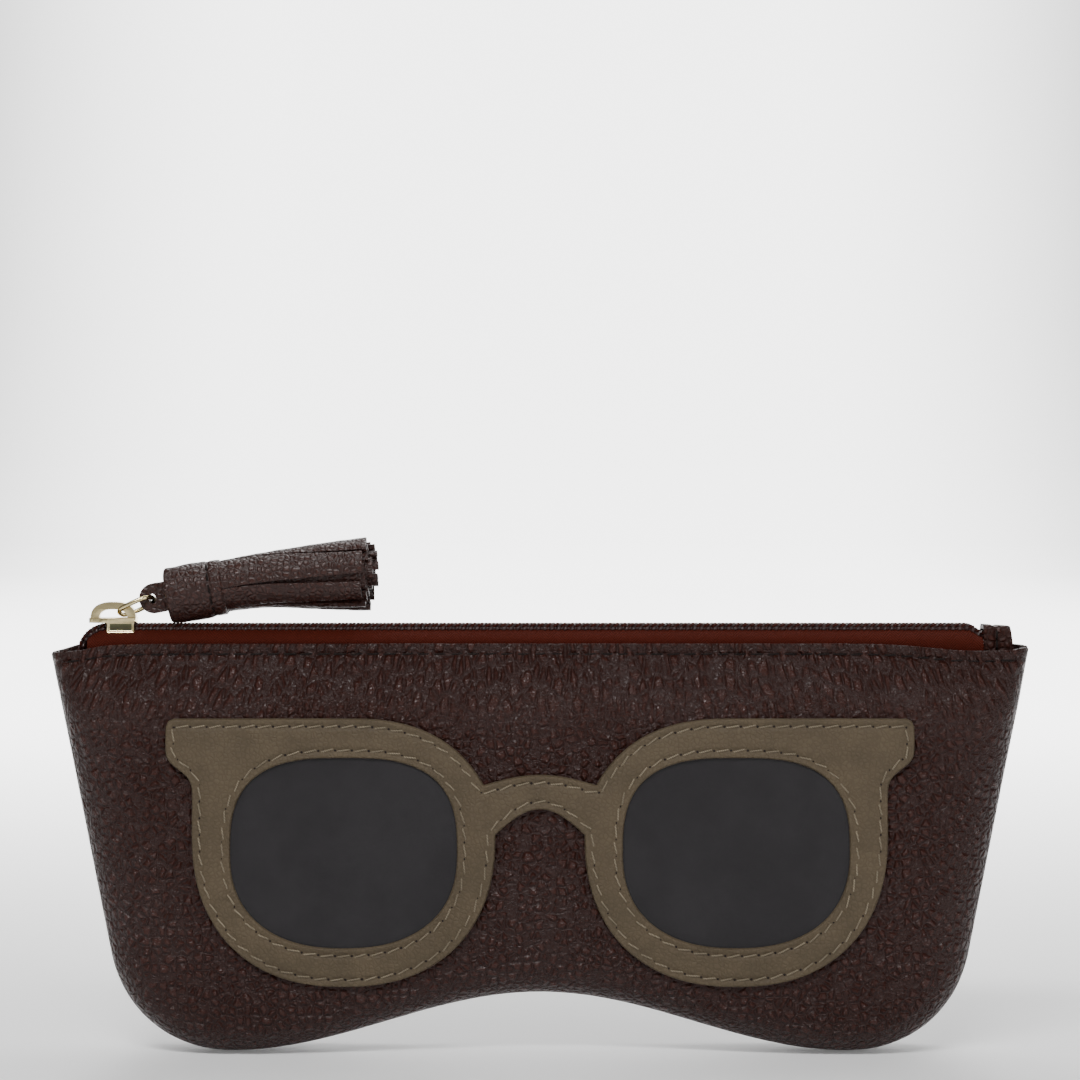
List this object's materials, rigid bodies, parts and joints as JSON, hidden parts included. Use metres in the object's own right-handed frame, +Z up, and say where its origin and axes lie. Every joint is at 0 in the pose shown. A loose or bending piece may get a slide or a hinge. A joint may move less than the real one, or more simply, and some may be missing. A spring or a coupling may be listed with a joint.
{
  "type": "glasses organizer pouch",
  "caption": "Zipped leather pouch that holds several pairs of glasses, with a spectacle-shaped applique on the front and a leather tassel on the zip pull.",
  "frame": {"origin": "middle of the bounding box's bottom: on the ground between the two lobes of the bottom edge", "axes": "+X along the zip towards its open end, +Z up, -Y out of the front with the applique"},
  "size_m": [0.1944, 0.0206, 0.1021],
  "materials": {
    "pebbled_leather": "dark brown pebbled leather, soft sheen",
    "taupe_leather": "smooth taupe leather, fine grain",
    "charcoal_leather": "smooth charcoal leather, soft sheen",
    "smooth_leather": "smooth dark brown leather with raw cut edges",
    "lining_cloth": "plain woven cloth",
    "zip_tape": "woven rust brown tape",
    "zip_coil": "dark brown nylon coil",
    "pale_gold": "polished pale gold plating",
    "beige_thread": "twisted beige thread",
    "dark_thread": "twisted very dark brown thread"
  },
  "bodies": {
    "pouch": {"front_panel": "pebbled_leather", "back_panel": "pebbled_leather", "front_lining": "lining_cloth", "back_lining": "lining_cloth", "divider": "lining_cloth", "spectacle_applique": "taupe_leather", "lens_patch_left": "charcoal_leather", "lens_patch_right": "charcoal_leather", "frame_thread": "beige_thread", "lens_thread_left": "beige_thread", "lens_thread_right": "beige_thread", "hem_thread_front": "dark_thread", "hem_thread_back": "dark_thread", "seam_thread": "dark_thread", "zip_tape_front": "zip_tape", "zip_tape_back": "zip_tape", "zip_coil_front": "zip_coil", "zip_coil_back": "zip_coil", "zip_end_tab": "smooth_leather", "end_tab_thread": "dark_thread"},
    "slider": {"slider_body": "pale_gold", "slider_bridge": "pale_gold"},
    "ring": {"pull_ring": "pale_gold"},
    "tassel": {"tassel_loop": "smooth_leather", "tassel_core": "smooth_leather", "tassel_head_wrap": "smooth_leather", "tassel_fringe": "smooth_leather", "tassel_thread": "dark_thread"}
  },
  "joints": [
    {"name": "zip_slide", "type": "slide", "parent": "pouch", "child": "slider", "axis": [1, 0, 0], "range_m": [0, 0.165]},
    {"name": "ring_swing", "type": "hinge", "parent": "slider", "child": "ring", "pos_m": [-0.0835, 0.00127, 0.087], "axis": [0, -1, 0], "range_deg": [0, 100]},
    {"name": "tassel_swing", "type": "hinge", "parent": "ring", "child": "tassel", "pos_m": [-0.07695, 0.00127, 0.08999], "axis": [0, -1, 0], "range_deg": [0, 70]}
  ]
}
